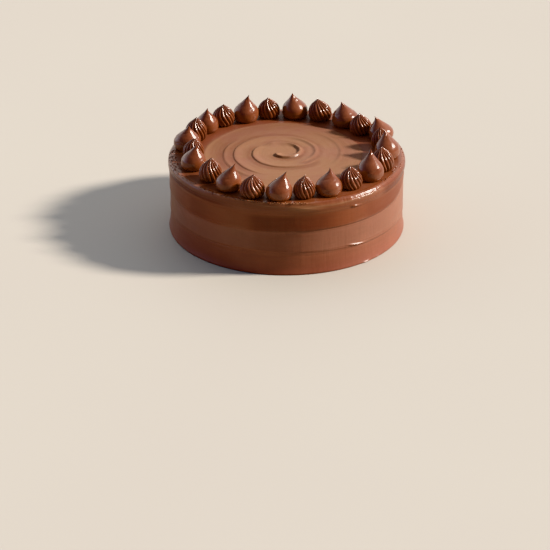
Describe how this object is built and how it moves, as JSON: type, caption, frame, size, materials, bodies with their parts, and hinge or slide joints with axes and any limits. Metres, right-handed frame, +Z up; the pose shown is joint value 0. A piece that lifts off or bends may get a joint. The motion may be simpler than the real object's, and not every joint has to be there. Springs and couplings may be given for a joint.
{
  "type": "sachertorte cake",
  "caption": "Uncut round chocolate torte coated in ganache, with banded sides, a trowelled spiral on top and a rim ring of plain and fluted piped kisses by turns.",
  "frame": {"origin": "middle of the flat base, on the surface that the cake stands on", "axes": "+Z up, -Y towards the front that the picture shows, +X to the right seen from there"},
  "size_m": [0.2, 0.1999, 0.0898],
  "materials": {
    "ganache_coat": "satin to glossy milk-brown chocolate ganache, spread by hand",
    "piped_ganache": "glossy milk-brown chocolate ganache, piped"
  },
  "bodies": {
    "root": {"cake": "ganache_coat", "kiss_plain_01": "piped_ganache", "kiss_plain_02": "piped_ganache", "kiss_plain_03": "piped_ganache", "kiss_plain_04": "piped_ganache", "kiss_plain_05": "piped_ganache", "kiss_plain_06": "piped_ganache", "kiss_plain_07": "piped_ganache", "kiss_plain_08": "piped_ganache", "kiss_plain_09": "piped_ganache", "kiss_plain_10": "piped_ganache", "kiss_plain_11": "piped_ganache", "kiss_plain_12": "piped_ganache", "kiss_fluted_01": "piped_ganache", "kiss_fluted_02": "piped_ganache", "kiss_fluted_03": "piped_ganache", "kiss_fluted_04": "piped_ganache", "kiss_fluted_05": "piped_ganache", "kiss_fluted_06": "piped_ganache", "kiss_fluted_07": "piped_ganache", "kiss_fluted_08": "piped_ganache", "kiss_fluted_09": "piped_ganache", "kiss_fluted_10": "piped_ganache", "kiss_fluted_11": "piped_ganache", "kiss_fluted_12": "piped_ganache"}
  },
  "joints": []
}
